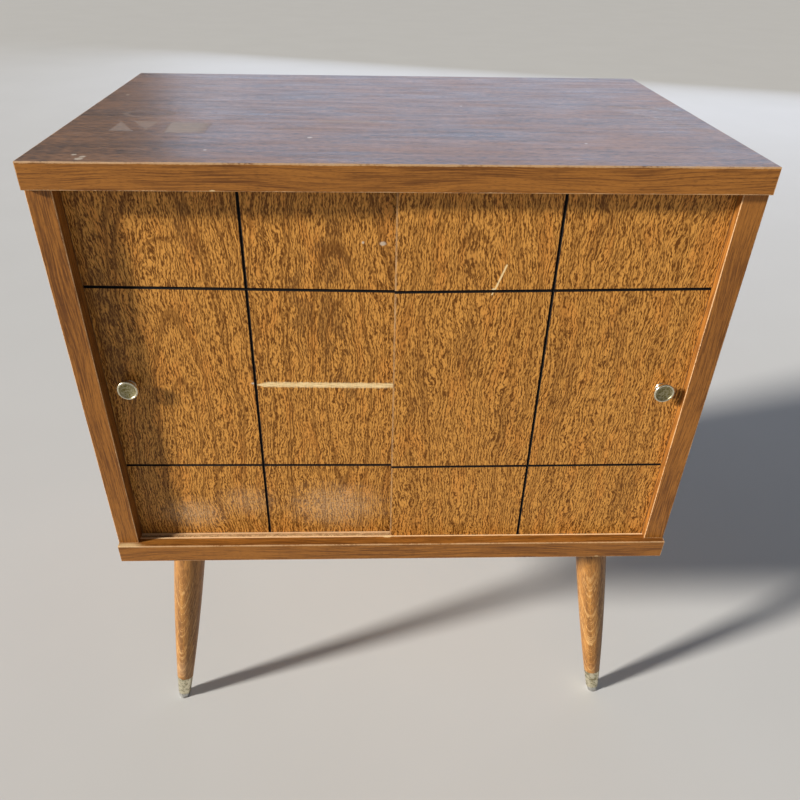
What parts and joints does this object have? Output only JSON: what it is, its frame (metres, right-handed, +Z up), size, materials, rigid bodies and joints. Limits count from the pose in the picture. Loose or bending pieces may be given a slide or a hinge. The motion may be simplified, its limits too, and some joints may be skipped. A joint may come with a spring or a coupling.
{
  "type": "media cabinet",
  "caption": "Low storage cabinet with a woodgrain-laminate case, grooved sliding doors with round dished knobs, and splayed tapered legs with metal ferrules.",
  "frame": {"origin": "on the floor, under the centre of the case's footprint", "axes": "+Z is up. The doors face -Y, the back is at +Y, and +X is to the right of someone who faces the doors."},
  "size_m": [0.56, 0.372, 0.638],
  "materials": {
    "woodgrain_laminate": "satin printed woodgrain",
    "printed_hardboard": "satin printed woodgrain with black score lines",
    "particle_board": "raw particle board",
    "plain_hardboard": "raw brown hardboard",
    "stained_beech": "satin lacquered stain",
    "dowel_wood": "raw beech",
    "brass": "aged and dulled",
    "zinc_steel": "zinc plated, dulled"
  },
  "bodies": {
    "case": {"top_panel": "particle_board", "top_surface_laminate": "woodgrain_laminate", "top_front_edging": "woodgrain_laminate", "top_end_edgings": "woodgrain_laminate", "bottom_panel": "particle_board", "floor_surface_laminate": "woodgrain_laminate", "bottom_front_edging": "woodgrain_laminate", "bottom_end_edgings": "woodgrain_laminate", "left_side_panel": "particle_board", "left_side_laminate": "woodgrain_laminate", "left_side_front_edging": "woodgrain_laminate", "right_side_panel": "particle_board", "right_side_laminate": "woodgrain_laminate", "right_side_front_edging": "woodgrain_laminate", "middle_divider": "particle_board", "divider_front_edging": "woodgrain_laminate", "back_panel": "plain_hardboard", "back_nails": "zinc_steel", "side_dowels": "dowel_wood", "divider_dowels": "dowel_wood", "front_left_leg": "stained_beech", "front_left_leg_plate": "zinc_steel", "front_left_ferrule": "brass", "front_left_glide": "zinc_steel", "front_right_leg": "stained_beech", "front_right_leg_plate": "zinc_steel", "front_right_ferrule": "brass", "front_right_glide": "zinc_steel", "rear_left_leg": "stained_beech", "rear_left_leg_plate": "zinc_steel", "rear_left_ferrule": "brass", "rear_left_glide": "zinc_steel", "rear_right_leg": "stained_beech", "rear_right_leg_plate": "zinc_steel", "rear_right_ferrule": "brass", "rear_right_glide": "zinc_steel", "leg_hanger_bolts": "zinc_steel", "leg_plate_screws": "zinc_steel"},
    "left_door": {"left_door_panel": "printed_hardboard", "left_door_knob": "brass", "left_knob_screw": "zinc_steel"},
    "right_door": {"right_door_panel": "printed_hardboard", "right_door_knob": "brass", "right_knob_screw": "zinc_steel"}
  },
  "joints": [
    {"name": "left_door_slide", "type": "slide", "parent": "case", "child": "left_door", "axis": [1, 0, 0], "range_m": [0, 0.112]},
    {"name": "right_door_slide", "type": "slide", "parent": "case", "child": "right_door", "axis": [-1, 0, 0], "range_m": [0, 0.112]}
  ]
}
